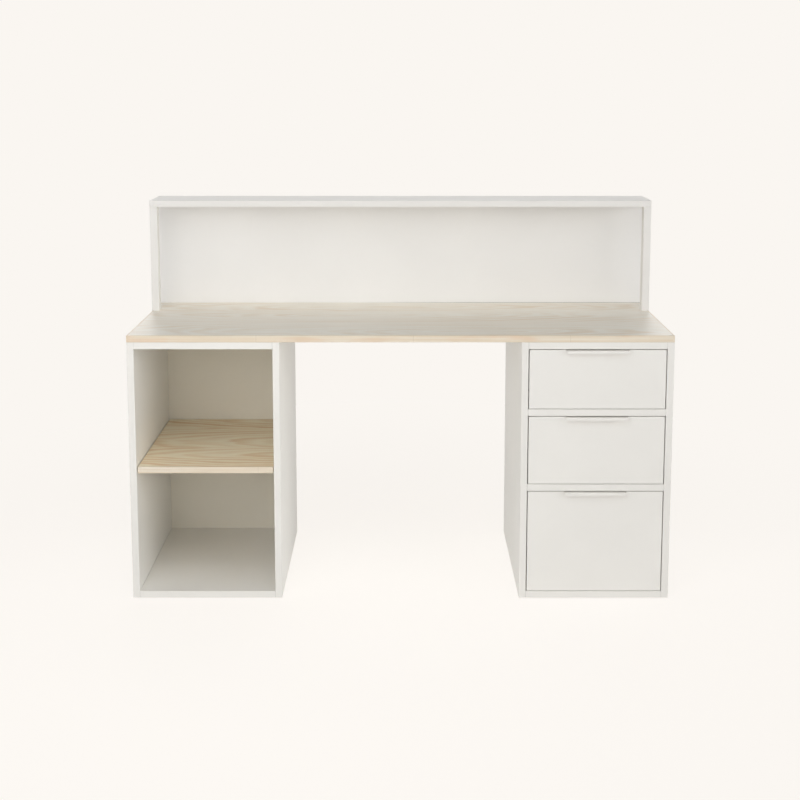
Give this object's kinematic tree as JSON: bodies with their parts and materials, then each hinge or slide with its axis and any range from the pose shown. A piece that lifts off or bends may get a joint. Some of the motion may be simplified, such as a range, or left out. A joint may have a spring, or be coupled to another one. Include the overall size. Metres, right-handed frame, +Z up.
{
  "type": "student desk with hutch",
  "caption": "Desk with a pine worktop on white pedestals, one open with a shelf and one with sliding drawers behind flush fronts, and a low open hutch along the back.",
  "frame": {"origin": "on the floor, under the middle of the whole desk with its drawer pulls", "axes": "+X to the right of a person at the desk, +Y to the back, +Z up"},
  "size_m": [1.5, 0.612, 1.083],
  "materials": {
    "white_board": "satin white lacquer",
    "white_panel": "matt white lacquer",
    "pine": "matt clear lacquer",
    "drawer_box": "white foil",
    "drawer_bottom": "white foil",
    "pull_paint": "satin white powder coat",
    "runner_steel": "zinc plated",
    "fastener_steel": "zinc plated",
    "cast_zinc": "as cast",
    "dowel_wood": "bare beech",
    "glide_plastic": "matt"
  },
  "bodies": {
    "desk": {"left_pedestal_outer_side": "white_board", "left_pedestal_inner_side": "white_board", "left_pedestal_top": "white_board", "left_pedestal_bottom": "white_board", "right_pedestal_outer_side": "white_board", "right_pedestal_inner_side": "white_board", "right_pedestal_top": "white_board", "right_pedestal_upper_divider": "white_board", "right_pedestal_lower_divider": "white_board", "right_pedestal_bottom": "white_board", "hutch_top": "white_board", "hutch_left_post": "white_board", "hutch_right_post": "white_board", "hutch_back": "white_board", "left_pedestal_back": "white_panel", "right_pedestal_back": "white_panel", "worktop": "pine", "left_shelf": "pine", "glides": "glide_plastic", "dowels": "dowel_wood", "cam_bolts": "fastener_steel", "cam_locks": "cast_zinc", "worktop_screws": "fastener_steel", "hutch_screws": "fastener_steel", "runner_screws": "fastener_steel", "shelf_pins": "fastener_steel", "upper_drawer_cabinet_runners": "runner_steel", "middle_drawer_cabinet_runners": "runner_steel", "lower_drawer_cabinet_runners": "runner_steel"},
    "upper_drawer": {"upper_drawer_front": "white_board", "upper_drawer_pull": "pull_paint", "upper_drawer_box_front": "drawer_box", "upper_drawer_box_back": "drawer_box", "upper_drawer_left_side": "drawer_box", "upper_drawer_right_side": "drawer_box", "upper_drawer_bottom": "drawer_bottom", "upper_drawer_box_runners": "runner_steel", "upper_drawer_screws": "fastener_steel"},
    "upper_runner": {"upper_drawer_middle_runners": "runner_steel"},
    "middle_drawer": {"middle_drawer_front": "white_board", "middle_drawer_pull": "pull_paint", "middle_drawer_box_front": "drawer_box", "middle_drawer_box_back": "drawer_box", "middle_drawer_left_side": "drawer_box", "middle_drawer_right_side": "drawer_box", "middle_drawer_bottom": "drawer_bottom", "middle_drawer_box_runners": "runner_steel", "middle_drawer_screws": "fastener_steel"},
    "middle_runner": {"middle_drawer_middle_runners": "runner_steel"},
    "lower_drawer": {"lower_drawer_front": "white_board", "lower_drawer_pull": "pull_paint", "lower_drawer_box_front": "drawer_box", "lower_drawer_box_back": "drawer_box", "lower_drawer_left_side": "drawer_box", "lower_drawer_right_side": "drawer_box", "lower_drawer_bottom": "drawer_bottom", "lower_drawer_box_runners": "runner_steel", "lower_drawer_screws": "fastener_steel"},
    "lower_runner": {"lower_drawer_middle_runners": "runner_steel"}
  },
  "joints": [
    {"name": "upper_drawer_slide", "type": "slide", "parent": "desk", "child": "upper_drawer", "axis": [0, -1, 0], "range_m": [0, 0.45]},
    {"name": "upper_runner_slide", "type": "slide", "parent": "desk", "child": "upper_runner", "axis": [0, -1, 0], "range_m": [0, 0.225]},
    {"name": "middle_drawer_slide", "type": "slide", "parent": "desk", "child": "middle_drawer", "axis": [0, -1, 0], "range_m": [0, 0.45]},
    {"name": "middle_runner_slide", "type": "slide", "parent": "desk", "child": "middle_runner", "axis": [0, -1, 0], "range_m": [0, 0.225]},
    {"name": "lower_drawer_slide", "type": "slide", "parent": "desk", "child": "lower_drawer", "axis": [0, -1, 0], "range_m": [0, 0.45]},
    {"name": "lower_runner_slide", "type": "slide", "parent": "desk", "child": "lower_runner", "axis": [0, -1, 0], "range_m": [0, 0.225]}
  ],
  "couplings": [
    {"joint": "upper_runner_slide", "follows": "upper_drawer_slide", "ratio": 0.5},
    {"joint": "middle_runner_slide", "follows": "middle_drawer_slide", "ratio": 0.5},
    {"joint": "lower_runner_slide", "follows": "lower_drawer_slide", "ratio": 0.5}
  ]
}
